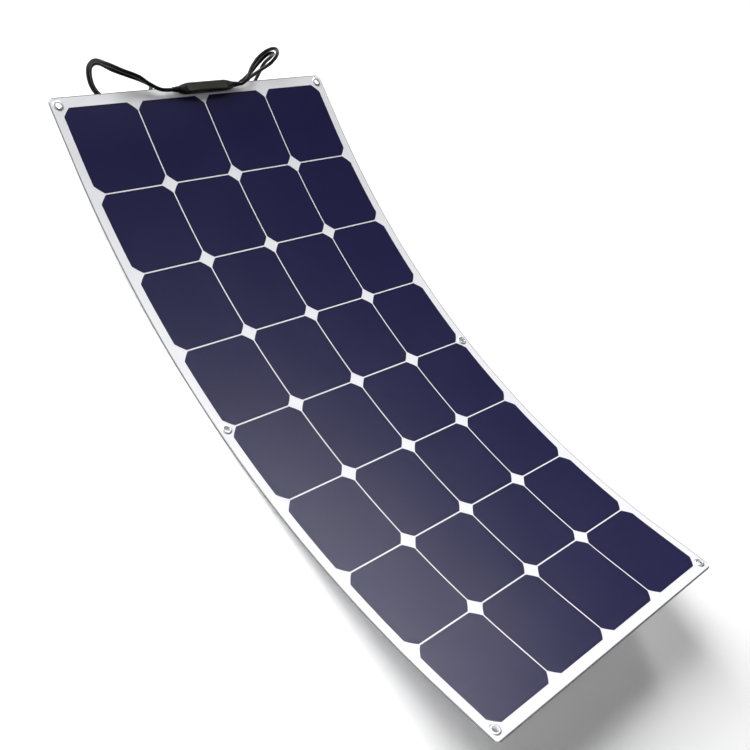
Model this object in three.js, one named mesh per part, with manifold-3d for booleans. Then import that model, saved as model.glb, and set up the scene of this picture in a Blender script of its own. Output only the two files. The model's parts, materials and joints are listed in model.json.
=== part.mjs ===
// Flexible solar sheet: a thin laminate of four by eight back-contact cells that bends along its length,
// with six eyelets, a slim junction box on its head border and two output leads.
//
// Frame, in millimetres: X runs across the sheet, Y along it towards the junction box (the head) and Z up,
// from the cells' side. The sheet stands on the middle of row 4, and the origin is at the centre of the bent
// sheet's footprint, on the surface that it stands on. Rows are counted from the head, columns from -X.

import * as THREE from 'three';
import { mergeVertices } from 'three/addons/utils/BufferGeometryUtils.js';
import Module from 'manifold-3d';

const wasm = await Module();
wasm.setup();

// Driving dimensions
const COLUMNS = 4;
const ROWS = 8;
const CELL = 125.8; // side of a cell
const CELL_DIAGONAL = 160; // of the round ingot that the cell is cut from, which trims its corners
const CELL_GAP = 2.2;
const END_CELL_EXTRA = 8; // by which the two end rows' cells reach further towards the sheet's ends
const SHEET_WIDTH = 540;
const SHEET_LENGTH = 1072; // measured along the bend
const SHEET_CORNER = 10;
const CORNER_STEPS = 3;
const BEND_RADIUS = 1361;
const FLAT_ROW = 4; // the row that lies flat on the ground
const CLEARANCE = 0.3; // between laminated or assembled pieces

// Heights in the laminate, above its back face
const BACKSHEET_TOP = 1.7;
const CELL_BOTTOM = BACKSHEET_TOP + CLEARANCE;
const CELL_TOP = CELL_BOTTOM + 0.3;
const FILM_BOTTOM = BACKSHEET_TOP + CLEARANCE;
const FILM_TOP = 3.0;
const FLEX_HEIGHT = BACKSHEET_TOP / 2; // of the lines that the rows flex about
const FLEX_GAP = 0.4; // between the backsheets of two rows

// Eyelets
const EYELET_BORE = 4.0; // radius
const EYELET_BARREL = 4.7;
const EYELET_FLANGE = 7.8;
const EYELET_TOP = 3.4;
const EYELET_BACK_FLANGE = 0.6;
const EYELET_SIDE_INSET = 13;
const EYELET_HEAD_INSET = 12;
const EYELET_FOOT_INSET = 15;
const EYELET_TAB = EYELET_FLANGE + 0.8; // radius of the tab that carries a middle eyelet
const EYELET_SEGMENTS = 12;
const EYELET_ROUNDING = 0.6; // of the front flange's two rims

// Junction box, from its own centre on the head border
const BOX_X = 10;
const BOX_FROM_EDGE = 6.5;
const BOX_WIDTH = 16;
const BOX_STRAIGHT = 76; // length of the parallel stretch
const BOX_LENGTH = 108; // with its tapered ends
const BOX_END_WIDTH = 9.5;
const BOX_CAVITY = 72; // length
const BOX_WALL = 1.6;
const SEAL_INSET = 0.8;
const SEAL_BOTTOM = FILM_TOP + CLEARANCE;
const SEAL_TOP = SEAL_BOTTOM + 0.7;
const BASE_BOTTOM = SEAL_TOP + CLEARANCE;
const BASE_TOP = 12;
const BASE_FLOOR = 1.5;
const LID_BOTTOM = BASE_TOP + CLEARANCE;
const LID_TOP = 14.3;
const LID_BEVEL = 1;
const LID_LENGTH = 80;
const LID_WIDTH = 15.2;
const LID_CORNER = 3.5;

// Leads
const LEAD_DIAMETER = 6;
const LEAD_HEIGHT = 8.6; // of its axis above the laminate's back face
const RELIEF_TIP = 67; // distance of a strain relief's tip from the box's centre
const RELIEF_STEM = 3.0; // radius of the stem in the box's end bore
const RELIEF_RIBS = 3;
const RELIEF_RADIUS = 4.9; // of the rib next to the box
const RELIEF_NARROWING = 0.4; // from each rib to the next
const RELIEF_GROOVE = 0.7; // depth between the ribs
const RELIEF_LIP = 0.5; // of the tip around the lead
const LEAD_STRAIGHT = 6; // where it leaves the strain relief
const LEAD_SIDES = 8;
const LEAD_STEPS = 72;

const PITCH = CELL + CELL_GAP;
const ROW_BEND = PITCH / BEND_RADIUS;
const HEAD_BORDER = (SHEET_LENGTH - ROWS * PITCH) / 2; // beyond the end rows' own pitch

const materials = {
  backsheet: new THREE.MeshStandardMaterial({ color: 0xe6e6ea, roughness: 0.45, metalness: 0 }),
  cell: new THREE.MeshStandardMaterial({ color: 0x1c1b3a, roughness: 0.25, metalness: 0.1 }),
  film: new THREE.MeshStandardMaterial({ color: 0xf4f4fa, roughness: 0.2, transparent: true, opacity: 0.3 }),
  eyelet: new THREE.MeshStandardMaterial({ color: 0xb9bcc0, roughness: 0.25, metalness: 1 }),
  seal: new THREE.MeshStandardMaterial({ color: 0x151515, roughness: 0.9, metalness: 0 }),
  box: new THREE.MeshStandardMaterial({ color: 0x24241d, roughness: 0.5, metalness: 0 }),
  relief: new THREE.MeshStandardMaterial({ color: 0x1a1a17, roughness: 0.7, metalness: 0 }),
  diode: new THREE.MeshStandardMaterial({ color: 0x18181a, roughness: 0.4, metalness: 0 }),
  terminal: new THREE.MeshStandardMaterial({ color: 0xb87333, roughness: 0.35, metalness: 1 }),
  lead: new THREE.MeshStandardMaterial({ color: 0x161616, roughness: 0.6, metalness: 0 }),
  connector: new THREE.MeshStandardMaterial({ color: 0x121212, roughness: 0.5, metalness: 0 }),
};

const sheet = new THREE.Group();

function addMesh(parent, name, geometry, material) {
  const mesh = new THREE.Mesh(geometry, material);
  mesh.name = name;
  parent.add(mesh);
  return mesh;
}

// Booleans

function toSolid(geometry, matrix = new THREE.Matrix4()) {
  const bare = geometry.clone();
  bare.deleteAttribute('normal');
  bare.deleteAttribute('uv');
  bare.applyMatrix4(matrix);
  const merged = mergeVertices(bare, 1e-4);
  return new wasm.Manifold(new wasm.Mesh({
    numProp: 3,
    vertProperties: new Float32Array(merged.attributes.position.array),
    triVerts: new Uint32Array(merged.index.array),
  }));
}

function toGeometry(solid) {
  const mesh = solid.getMesh();
  const geometry = new THREE.BufferGeometry();
  geometry.setAttribute('position', new THREE.BufferAttribute(mesh.vertProperties, 3));
  geometry.setIndex(new THREE.BufferAttribute(mesh.triVerts, 1));
  geometry.computeVertexNormals();
  return geometry;
}

// Flat outlines and plates

function rectangle(x0, x1, y0, y1) {
  const shape = new THREE.Shape();
  shape.moveTo(x0, y0);
  shape.lineTo(x1, y0);
  shape.lineTo(x1, y1);
  shape.lineTo(x0, y1);
  return shape;
}

// A square cell whose four corners are trimmed by one circle, grown outwards by an allowance. Its head side
// or its foot side can reach further by an extra length.
function cellOutline(allowance = 0, headExtra = 0, footExtra = 0) {
  const side = CELL / 2 + allowance;
  const circle = CELL_DIAGONAL / 2 + allowance;
  const trim = Math.acos(side / circle);
  const shape = new THREE.Shape();
  for (let corner = 0; corner < 4; corner += 1) {
    const start = (corner * Math.PI) / 2;
    const shift = corner < 2 ? headExtra : -footExtra;
    shape.absarc(0, shift, circle, start + trim, start + Math.PI / 2 - trim, false);
  }
  return shape;
}

const headExtra = (row) => (row === 1 ? END_CELL_EXTRA : 0);
const footExtra = (row) => (row === ROWS ? END_CELL_EXTRA : 0);

// A row's outline: straight where it meets the next row, round at the sheet's own corners
function rowOutline(y0, y1, headCorners, footCorners) {
  const half = SHEET_WIDTH / 2;
  const head = headCorners ? SHEET_CORNER : 0;
  const foot = footCorners ? SHEET_CORNER : 0;
  const shape = new THREE.Shape();
  shape.moveTo(-half + foot, y0);
  shape.lineTo(half - foot, y0);
  if (foot) shape.absarc(half - foot, y0 + foot, foot, -Math.PI / 2, 0, false);
  shape.lineTo(half, y1 - head);
  if (head) shape.absarc(half - head, y1 - head, head, 0, Math.PI / 2, false);
  shape.lineTo(-half + head, y1);
  if (head) shape.absarc(-half + head, y1 - head, head, Math.PI / 2, Math.PI, false);
  shape.lineTo(-half, y0 + foot);
  if (foot) shape.absarc(-half + foot, y0 + foot, foot, Math.PI, 1.5 * Math.PI, false);
  return shape;
}

function plate(shape, bottom, top, curveSegments = CORNER_STEPS) {
  const geometry = new THREE.ExtrudeGeometry(shape, {
    depth: top - bottom,
    bevelEnabled: false,
    curveSegments,
  });
  return geometry.translate(0, 0, bottom);
}

function disc(radius, x, y, bottom, top, segments = EYELET_SEGMENTS) {
  const geometry = new THREE.CylinderGeometry(radius, radius, top - bottom, segments);
  return geometry.rotateX(Math.PI / 2).translate(x, y, (top + bottom) / 2);
}

// A solid of revolution about X, from [distance along X, radius] points that start and end on the axis
function turned(points, segments) {
  const profile = points.map(([along, radius]) => new THREE.Vector2(radius, along));
  return new THREE.LatheGeometry(profile, segments).rotateZ(-Math.PI / 2);
}

// Rows: each lies straight, turned by one row's share of the bend from the next

const rowTilt = (row) => (FLAT_ROW - row) * ROW_BEND;
const alongRow = (row) => new THREE.Vector2(Math.cos(rowTilt(row)), Math.sin(rowTilt(row)));
const acrossRow = (row) => new THREE.Vector2(-Math.sin(rowTilt(row)), Math.cos(rowTilt(row)));
const rowFoot = (row) => -PITCH / 2 - (row === ROWS ? HEAD_BORDER : 0);
const rowHead = (row) => PITCH / 2 + (row === 1 ? HEAD_BORDER : 0);

// The (Y, Z) place of a row's middle on its back face, walking from the flat row over the lines between rows
function rowMiddle(row) {
  const place = new THREE.Vector2(0, FLEX_HEIGHT);
  const step = row < FLAT_ROW ? -1 : 1;
  for (let at = FLAT_ROW; at !== row; at += step) {
    place.addScaledVector(alongRow(at), (-step * PITCH) / 2);
    place.addScaledVector(alongRow(at + step), (-step * PITCH) / 2);
  }
  return place.addScaledVector(acrossRow(row), -FLEX_HEIGHT);
}

const headEnd = rowMiddle(1).addScaledVector(alongRow(1), rowHead(1));
const footEnd = rowMiddle(ROWS).addScaledVector(alongRow(ROWS), rowFoot(ROWS));
const centreY = (headEnd.x + footEnd.x) / 2;

const rows = {};
for (let row = 1; row <= ROWS; row += 1) {
  const middle = rowMiddle(row);
  rows[row] = new THREE.Group();
  rows[row].position.set(0, middle.x - centreY, middle.y);
  rows[row].rotation.x = rowTilt(row);
  rows[row].updateMatrix();
  sheet.add(rows[row]);
}

const columnX = (column) => (column - (COLUMNS + 1) / 2) * PITCH;

// Eyelets: two at each end and two on the line between the two middle rows, which the upper of them carries

const eyeletX = SHEET_WIDTH / 2 - EYELET_SIDE_INSET;
const eyelets = [
  { name: 'eyelet_head_left', row: 1, x: -eyeletX, y: rowHead(1) - EYELET_HEAD_INSET },
  { name: 'eyelet_head_right', row: 1, x: eyeletX, y: rowHead(1) - EYELET_HEAD_INSET },
  { name: 'eyelet_middle_left', row: ROWS / 2, x: -eyeletX, y: rowFoot(ROWS / 2) },
  { name: 'eyelet_middle_right', row: ROWS / 2, x: eyeletX, y: rowFoot(ROWS / 2) },
  { name: 'eyelet_foot_left', row: ROWS, x: -eyeletX, y: rowFoot(ROWS) + EYELET_FOOT_INSET },
  { name: 'eyelet_foot_right', row: ROWS, x: eyeletX, y: rowFoot(ROWS) + EYELET_FOOT_INSET },
];

function eyeletGeometry() {
  const profile = [
    [EYELET_BORE, 0],
    [EYELET_FLANGE, 0],
    [EYELET_FLANGE, EYELET_BACK_FLANGE],
    [EYELET_BARREL, EYELET_BACK_FLANGE],
    [EYELET_BARREL, CELL_BOTTOM],
    [EYELET_FLANGE, CELL_BOTTOM],
    [EYELET_FLANGE, EYELET_TOP - EYELET_ROUNDING],
    [EYELET_FLANGE - EYELET_ROUNDING, EYELET_TOP],
    [EYELET_BORE + EYELET_ROUNDING, EYELET_TOP],
    [EYELET_BORE, EYELET_TOP - EYELET_ROUNDING],
    [EYELET_BORE, 0],
  ].map(([radius, height]) => new THREE.Vector2(radius, height));
  return new THREE.LatheGeometry(profile, EYELET_SEGMENTS).rotateX(Math.PI / 2);
}

for (const eyelet of eyelets) {
  const mesh = addMesh(rows[eyelet.row], eyelet.name, eyeletGeometry(), materials.eyelet);
  mesh.position.set(eyelet.x, eyelet.y, 0);
}

// The laminate's stiff white back, one strip to a row, with holes and back recesses for the eyelets

function backsheet(row) {
  const y0 = rowFoot(row) + (row === ROWS ? 0 : FLEX_GAP / 2);
  const y1 = rowHead(row) - (row === 1 ? 0 : FLEX_GAP / 2);
  let solid = toSolid(plate(rowOutline(y0, y1, row === 1, row === ROWS), 0, BACKSHEET_TOP));
  for (const { x, y, row: carrier } of eyelets) {
    if (carrier === row) {
      if (row === ROWS / 2) solid = solid.add(toSolid(disc(EYELET_TAB, x, y, 0, BACKSHEET_TOP)));
      solid = solid.subtract(toSolid(disc(EYELET_BARREL + CLEARANCE, x, y, -1, BACKSHEET_TOP + 1)));
      const recess = EYELET_BACK_FLANGE + CLEARANCE;
      solid = solid.subtract(toSolid(disc(EYELET_FLANGE + CLEARANCE, x, y, -1, recess)));
    } else if (carrier === row - 1 && row === ROWS / 2 + 1) {
      const notch = disc(EYELET_TAB + CLEARANCE + FLEX_GAP, x, rowHead(row), -1, BACKSHEET_TOP + 1);
      solid = solid.subtract(toSolid(notch));
    }
  }
  return toGeometry(solid);
}

for (let row = 1; row <= ROWS; row += 1) {
  addMesh(rows[row], `backsheet_row_${row}`, backsheet(row), materials.backsheet);
}

// Cells

for (let row = 1; row <= ROWS; row += 1) {
  for (let column = 1; column <= COLUMNS; column += 1) {
    const outline = cellOutline(0, headExtra(row), footExtra(row));
    const wafer = plate(outline, CELL_BOTTOM, CELL_TOP, 1);
    const mesh = addMesh(rows[row], `cell_${row}_${column}`, wafer, materials.cell);
    mesh.position.x = columnX(column);
  }
}

// The clear front film: one piece over all rows, with a shallow pocket over each cell and eyelet holes

// A point (Y, Z) on the line between a row and the next, at a height above the back face
function betweenRows(row, height) {
  const tilt = rowTilt(row) - ROW_BEND / 2;
  const out = new THREE.Vector2(-Math.sin(tilt), Math.cos(tilt));
  const line = rowMiddle(row).addScaledVector(alongRow(row), -PITCH / 2);
  line.addScaledVector(acrossRow(row), FLEX_HEIGHT);
  line.x -= centreY;
  return line.addScaledVector(out, (height - FLEX_HEIGHT) / Math.cos(ROW_BEND / 2));
}

function endPoint(row, along, height) {
  const point = rowMiddle(row).addScaledVector(alongRow(row), along).addScaledVector(acrossRow(row), height);
  point.x -= centreY;
  return point;
}

function filmSection() {
  const surface = (height) => [
    endPoint(1, rowHead(1), height),
    ...Array.from({ length: ROWS - 1 }, (_, index) => betweenRows(index + 1, height)),
    endPoint(ROWS, rowFoot(ROWS), height),
  ];
  return new THREE.Shape([...surface(FILM_TOP), ...surface(FILM_BOTTOM).reverse()]);
}

// What a square corner loses when it is rounded: the corner's square, less a quarter disc
function cornerCut(x, y) {
  const overlap = 1;
  const outX = Math.sign(x);
  const outY = Math.sign(y);
  const centre = new THREE.Vector2(x - outX * SHEET_CORNER, y - outY * SHEET_CORNER);
  const shape = new THREE.Shape();
  shape.moveTo(x + outX * overlap, y + outY * overlap);
  shape.lineTo(centre.x, y + outY * overlap);
  for (let step = 0; step <= CORNER_STEPS; step += 1) {
    const angle = (step * Math.PI) / 2 / CORNER_STEPS;
    shape.lineTo(
      centre.x + outX * SHEET_CORNER * Math.sin(angle),
      centre.y + outY * SHEET_CORNER * Math.cos(angle),
    );
  }
  shape.lineTo(x + outX * overlap, centre.y);
  return plate(shape, FILM_BOTTOM - overlap, FILM_TOP + overlap);
}

function frontFilm() {
  const band = new THREE.ExtrudeGeometry(filmSection(), { depth: SHEET_WIDTH, bevelEnabled: false });
  const across = new THREE.Matrix4().makeBasis(
    new THREE.Vector3(0, 1, 0),
    new THREE.Vector3(0, 0, 1),
    new THREE.Vector3(1, 0, 0),
  ).setPosition(-SHEET_WIDTH / 2, 0, 0);
  const cuts = [];
  for (let row = 1; row <= ROWS; row += 1) {
    for (let column = 1; column <= COLUMNS; column += 1) {
      const outline = cellOutline(CLEARANCE, headExtra(row), footExtra(row));
      const pocket = plate(outline, FILM_BOTTOM - 1, CELL_TOP + CLEARANCE, 1);
      cuts.push(toSolid(pocket.translate(columnX(column), 0, 0), rows[row].matrix));
    }
  }
  for (const x of [-SHEET_WIDTH / 2, SHEET_WIDTH / 2]) {
    cuts.push(toSolid(cornerCut(x, rowHead(1)), rows[1].matrix));
    cuts.push(toSolid(cornerCut(x, rowFoot(ROWS)), rows[ROWS].matrix));
  }
  for (const { x, y, row } of eyelets) {
    const hole = disc(EYELET_FLANGE + CLEARANCE, x, y, -1, 2 * FILM_TOP);
    cuts.push(toSolid(hole, rows[row].matrix));
  }
  return toGeometry(cuts.reduce((left, cut) => left.subtract(cut), toSolid(band, across)));
}

addMesh(sheet, 'front_film', frontFilm(), materials.film);

// Junction box

const junctionBox = new THREE.Group();
junctionBox.position.set(BOX_X, rowHead(1) - BOX_FROM_EDGE, 0);
rows[1].add(junctionBox);

// A long outline with parallel sides and tapered ends, drawn inwards by an inset
function boxOutline(inset = 0) {
  const straight = BOX_STRAIGHT / 2;
  const end = BOX_LENGTH / 2 - inset;
  const lean = (straight + end) / 2; // where a taper's curve leans to
  const half = BOX_WIDTH / 2 - inset;
  const endHalf = BOX_END_WIDTH / 2 - inset;
  const shape = new THREE.Shape();
  shape.moveTo(-straight, -half);
  shape.lineTo(straight, -half);
  shape.quadraticCurveTo(lean, -half, end, -endHalf);
  shape.lineTo(end, endHalf);
  shape.quadraticCurveTo(lean, half, straight, half);
  shape.lineTo(-straight, half);
  shape.quadraticCurveTo(-lean, half, -end, endHalf);
  shape.lineTo(-end, -endHalf);
  shape.quadraticCurveTo(-lean, -half, -straight, -half);
  return shape;
}

// The lid covers the parallel stretch only
function lidOutline(inset) {
  const x = LID_LENGTH / 2 - inset;
  const y = LID_WIDTH / 2 - inset;
  const corner = LID_CORNER - inset;
  const shape = new THREE.Shape();
  shape.absarc(x - corner, y - corner, corner, 0, Math.PI / 2, false);
  shape.absarc(-x + corner, y - corner, corner, Math.PI / 2, Math.PI, false);
  shape.absarc(-x + corner, -y + corner, corner, Math.PI, 1.5 * Math.PI, false);
  shape.absarc(x - corner, -y + corner, corner, 1.5 * Math.PI, 2 * Math.PI, false);
  return shape;
}

const RELIEF_BORE = RELIEF_STEM + CLEARANCE;
const TURNED_SEGMENTS = 12;
const BOX_CURVE_STEPS = 4;

function boxBase() {
  const cavityHalf = BOX_WIDTH / 2 - BOX_WALL;
  const cavity = rectangle(-BOX_CAVITY / 2, BOX_CAVITY / 2, -cavityHalf, cavityHalf);
  const bore = new THREE.CylinderGeometry(RELIEF_BORE, RELIEF_BORE, BOX_LENGTH + 2, TURNED_SEGMENTS);
  bore.rotateZ(Math.PI / 2).translate(0, 0, LEAD_HEIGHT);
  let solid = toSolid(plate(boxOutline(), BASE_BOTTOM, BASE_TOP, BOX_CURVE_STEPS));
  solid = solid.subtract(toSolid(plate(cavity, BASE_BOTTOM + BASE_FLOOR, BASE_TOP + 1)));
  return toGeometry(solid.subtract(toSolid(bore)));
}

// A plate whose upper rim is chamfered
function boxLid() {
  const chamfered = new THREE.ExtrudeGeometry(lidOutline(LID_BEVEL), {
    depth: LID_TOP - LID_BOTTOM - LID_BEVEL,
    bevelThickness: LID_BEVEL,
    bevelSize: LID_BEVEL,
    bevelSegments: 2,
    curveSegments: BOX_CURVE_STEPS,
  });
  chamfered.translate(0, 0, LID_BOTTOM);
  const lowerChamfer = plate(lidOutline(-1), LID_BOTTOM - 2 * LID_BEVEL, LID_BOTTOM);
  return toGeometry(toSolid(chamfered).subtract(toSolid(lowerChamfer)));
}

const seal = plate(boxOutline(SEAL_INSET), SEAL_BOTTOM, SEAL_TOP, BOX_CURVE_STEPS);
addMesh(junctionBox, 'box_seal', seal, materials.seal);
addMesh(junctionBox, 'box_base', boxBase(), materials.box);
addMesh(junctionBox, 'box_lid', boxLid(), materials.box);

// Inside the box: a bypass diode and a terminal bar for each half

const DIODE_RADIUS = 2.6;
const DIODE_LENGTH = 9.5;
const DIODE_LEG = 0.6; // radius
const DIODE_SPAN = 24; // over its legs
const DIODE_SEGMENTS = 10;
const DIODE_X = 14;
const TERMINAL_X = 31;
const TERMINAL_LENGTH = 9;
const TERMINAL_WIDTH = 7;
const TERMINAL_THICKNESS = 1;
const TERMINAL_HEIGHT = 4;

function diode() {
  const legs = DIODE_SPAN / 2;
  const body = DIODE_LENGTH / 2;
  return turned([
    [-legs, 0], [-legs, DIODE_LEG], [-body, DIODE_LEG], [-body, DIODE_RADIUS],
    [body, DIODE_RADIUS], [body, DIODE_LEG], [legs, DIODE_LEG], [legs, 0],
  ], DIODE_SEGMENTS);
}

function terminal() {
  const half = TERMINAL_LENGTH / 2;
  const section = new THREE.Shape();
  section.moveTo(-half, 0);
  section.lineTo(half, 0);
  section.lineTo(half, TERMINAL_HEIGHT);
  section.lineTo(half - TERMINAL_THICKNESS, TERMINAL_HEIGHT);
  section.lineTo(half - TERMINAL_THICKNESS, TERMINAL_THICKNESS);
  section.lineTo(-half, TERMINAL_THICKNESS);
  return plate(section, -TERMINAL_WIDTH / 2, TERMINAL_WIDTH / 2).rotateX(Math.PI / 2);
}

const cavityFloor = BASE_BOTTOM + BASE_FLOOR + CLEARANCE;
for (const [side, sign] of [['left', -1], ['right', 1]]) {
  const diodeMesh = addMesh(junctionBox, `bypass_diode_${side}`, diode(), materials.diode);
  diodeMesh.position.set(sign * DIODE_X, 0, cavityFloor + DIODE_RADIUS);
  const terminalMesh = addMesh(junctionBox, `terminal_${side}`, terminal(), materials.terminal);
  terminalMesh.position.set(sign * TERMINAL_X, 0, cavityFloor);
  terminalMesh.rotation.z = sign < 0 ? Math.PI : 0;
}

// Strain reliefs: a ribbed cone whose stem sits in the box's end bore

function strainRelief() {
  const inner = BOX_CAVITY / 2 + 1;
  const mouth = BOX_LENGTH / 2 + CLEARANCE;
  const points = [[inner, 0], [inner, RELIEF_STEM], [mouth, RELIEF_STEM]];
  const pitch = (RELIEF_TIP - mouth) / RELIEF_RIBS;
  const ribLength = 0.65 * pitch;
  for (let rib = 0; rib < RELIEF_RIBS; rib += 1) {
    const start = mouth + rib * pitch;
    const radius = RELIEF_RADIUS - RELIEF_NARROWING * rib;
    points.push([start, radius], [start + ribLength, radius]);
    if (rib < RELIEF_RIBS - 1) {
      points.push([start + ribLength, radius - RELIEF_GROOVE], [start + pitch, radius - RELIEF_GROOVE]);
    }
  }
  points.push([RELIEF_TIP, LEAD_DIAMETER / 2 + RELIEF_LIP], [RELIEF_TIP, 0]);
  return turned(points, TURNED_SEGMENTS);
}

for (const [side, sign] of [['left', -1], ['right', 1]]) {
  const mesh = addMesh(junctionBox, `strain_relief_${side}`, strainRelief(), materials.relief);
  mesh.position.z = LEAD_HEIGHT;
  mesh.rotation.z = sign < 0 ? Math.PI : 0;
}

// Output leads: each loops twice beyond the head edge and ends in a plug-in connector that rests below.
// It leaves its strain relief straight along X, and the points that follow are in the sheet's frame.

function beyondRelief(sign, distance) {
  const point = new THREE.Vector3(sign * (RELIEF_TIP + CLEARANCE + distance), 0, LEAD_HEIGHT);
  return point.applyMatrix4(junctionBox.matrixWorld);
}

const leadRoutes = {
  left: [
    [-81, 514.5, 87.5], [-98, 523.5, 91.5], [-118.5, 528.5, 102.5], [-146, 537.5, 109],
    [-164.5, 552.5, 108.5], [-170, 570, 98], [-169.5, 577, 78.5], [-165.5, 572.5, 61.5],
    [-159, 564, 48], [-148.5, 551.5, 39.5], [-121.5, 546.5, 27], [-92, 545.5, 26], [-74, 541.5, 45.5],
    [-79, 534.5, 72], [-103, 533.5, 87.5], [-130.5, 537, 97], [-152.5, 548.5, 99], [-161.5, 569, 92],
    [-161, 581, 73.5], [-156.5, 578, 55], [-152, 566.5, 43.5], [-136.5, 555.5, 30.5],
    [-110.5, 564, 5], [-88.5, 574, 4.3], [-77, 574, 7.6], [-66, 574, 8.8], [-56, 574, 8.8],
  ],
  right: [
    [97.5, 519.5, 88.5], [116.5, 537.5, 94.5], [135, 549.5, 104], [153.5, 555, 112.5], [180, 562, 107.5],
    [196.5, 565.5, 90.5], [196, 567.5, 69], [182.5, 568, 54], [165, 566.5, 39.5], [145.5, 560.5, 24.5],
    [119.5, 554, 26], [105.5, 545, 43], [108.5, 537, 62], [121.5, 539, 78.5], [138.5, 546.5, 95.5],
    [157, 553.5, 105], [180, 561.5, 97.5], [190.5, 570, 81], [194, 578, 56],
    [188.5, 572.5, 37.5], [167, 557, 22.5], [135, 548.5, 11], [89, 548, 4.8], [73, 546.5, 7.6],
    [60, 546, 8.8], [50, 546, 8.8],
  ],
};

function leadTube(points) {
  const route = new THREE.CatmullRomCurve3(points, false, 'centripetal');
  const corners = Array.from({ length: LEAD_SIDES }, (_, side) => {
    const angle = (2 * Math.PI * side) / LEAD_SIDES;
    return new THREE.Vector2(Math.cos(angle), Math.sin(angle)).multiplyScalar(LEAD_DIAMETER / 2);
  });
  return new THREE.ExtrudeGeometry(new THREE.Shape(corners), { steps: LEAD_STEPS, extrudePath: route });
}

// A plug-in connector, its cap nut at the start and its mating end last
const NUT_RADIUS = 6.6;
const NUT_LENGTH = 15;
const BODY_RADIUS = 8.4;
const BODY_END = 31;
const PLUG_RADIUS = 6.6;
const CONNECTOR_LENGTH = 50;
const CONNECTOR_CHAMFER = 2.4;

function connector() {
  return turned([
    [0, 0], [0, NUT_RADIUS - CONNECTOR_CHAMFER], [CONNECTOR_CHAMFER, NUT_RADIUS], [NUT_LENGTH, NUT_RADIUS],
    [NUT_LENGTH, BODY_RADIUS], [BODY_END, BODY_RADIUS], [BODY_END, PLUG_RADIUS],
    [CONNECTOR_LENGTH - CONNECTOR_CHAMFER, PLUG_RADIUS],
    [CONNECTOR_LENGTH, PLUG_RADIUS - CONNECTOR_CHAMFER / 2], [CONNECTOR_LENGTH, 0],
  ], TURNED_SEGMENTS);
}

sheet.updateMatrixWorld(true);
for (const [side, sign] of [['left', -1], ['right', 1]]) {
  const start = [beyondRelief(sign, 0), beyondRelief(sign, LEAD_STRAIGHT)];
  const points = [...start, ...leadRoutes[side].map((point) => new THREE.Vector3(...point))];
  addMesh(sheet, `lead_${side}`, leadTube(points), materials.lead);
  const end = points[points.length - 1];
  const mesh = addMesh(sheet, `connector_${side}`, connector(), materials.connector);
  mesh.position.set(end.x - sign * CLEARANCE, end.y, end.z);
  mesh.rotation.z = sign > 0 ? Math.PI : 0;
}

export default sheet;
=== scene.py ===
"""Looks of the flexible solar sheet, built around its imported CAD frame.

Sizes are in metres. Profiles and the leads' routes are listed in millimetres and scaled by MM.
"""

import json
import math

import bmesh
import bpy
from mathutils import Matrix, Vector


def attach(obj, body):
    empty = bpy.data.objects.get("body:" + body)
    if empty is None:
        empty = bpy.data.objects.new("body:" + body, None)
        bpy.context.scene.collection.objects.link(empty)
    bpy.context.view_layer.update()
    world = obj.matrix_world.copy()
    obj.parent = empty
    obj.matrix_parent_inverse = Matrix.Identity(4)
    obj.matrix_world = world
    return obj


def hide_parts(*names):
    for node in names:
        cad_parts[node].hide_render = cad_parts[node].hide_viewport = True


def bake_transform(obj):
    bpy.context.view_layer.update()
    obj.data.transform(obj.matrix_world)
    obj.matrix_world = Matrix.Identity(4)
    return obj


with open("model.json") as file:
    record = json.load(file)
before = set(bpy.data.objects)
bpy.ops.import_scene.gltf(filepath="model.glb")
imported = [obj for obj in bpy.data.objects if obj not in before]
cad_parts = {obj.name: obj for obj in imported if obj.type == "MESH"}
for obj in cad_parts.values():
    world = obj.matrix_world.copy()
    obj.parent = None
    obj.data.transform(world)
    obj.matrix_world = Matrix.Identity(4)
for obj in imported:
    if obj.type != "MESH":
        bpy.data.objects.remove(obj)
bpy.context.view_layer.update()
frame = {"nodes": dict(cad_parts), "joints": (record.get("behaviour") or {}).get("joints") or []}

MM = 0.001

# ---------------------------------------------------------------- the sheet's bend, from the frame's joints

HINGES = [
    Vector(next(j["pos_m"] for j in frame["joints"] if j["name"] == f"flex_{row}_{row + 1}"))
    for row in range(1, 8)
]
ROWS = len(HINGES) + 1
COLUMNS = 4
FLAT_ROW = 4
PITCH = (HINGES[0] - HINGES[1]).length


def tilt_between(upper, lower):
    step = HINGES[upper] - HINGES[lower]
    return math.atan2(step.z, step.y)


BEND = tilt_between(1, 2) - tilt_between(2, 3)
HEAD_TILT = (FLAT_ROW - 1) * BEND
FOOT_TILT = (FLAT_ROW - ROWS) * BEND
RADIUS = PITCH / 2 / math.tan(BEND / 2)
FLEX_HEIGHT = HINGES[FLAT_ROW - 1].z
BEND_CENTRE = (HINGES[2] + HINGES[3]) / 2 + Vector((0, 0, RADIUS))
ARC = (ROWS - 1) * PITCH


def along(tilt):
    return Vector((0, math.cos(tilt), math.sin(tilt)))


def outward(tilt):
    return Vector((0, -math.sin(tilt), math.cos(tilt)))


def bent(point):
    """The place on the bent sheet of a flat point: x across, y from row 1's middle towards the head, z up."""
    tilt = HEAD_TILT + max(-ARC, min(0.0, point[1])) / PITCH * BEND
    beyond = point[1] if point[1] > 0 else min(0.0, point[1] + ARC)
    place = BEND_CENTRE + outward(tilt) * (point[2] - FLEX_HEIGHT - RADIUS) + along(tilt) * beyond
    return Vector((point[0], place.y, place.z))


def bent_matrix(x, y, z):
    """The frame that a rigid piece takes on the bent sheet."""
    tilt = HEAD_TILT + max(-ARC, min(0.0, y)) / PITCH * BEND
    return Matrix.Translation(bent((x, y, z))) @ Matrix.Rotation(tilt, 4, "X")


def row_middle(row):
    return -(row - 1) * PITCH


# ---------------------------------------------------------------- sizes

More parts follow.
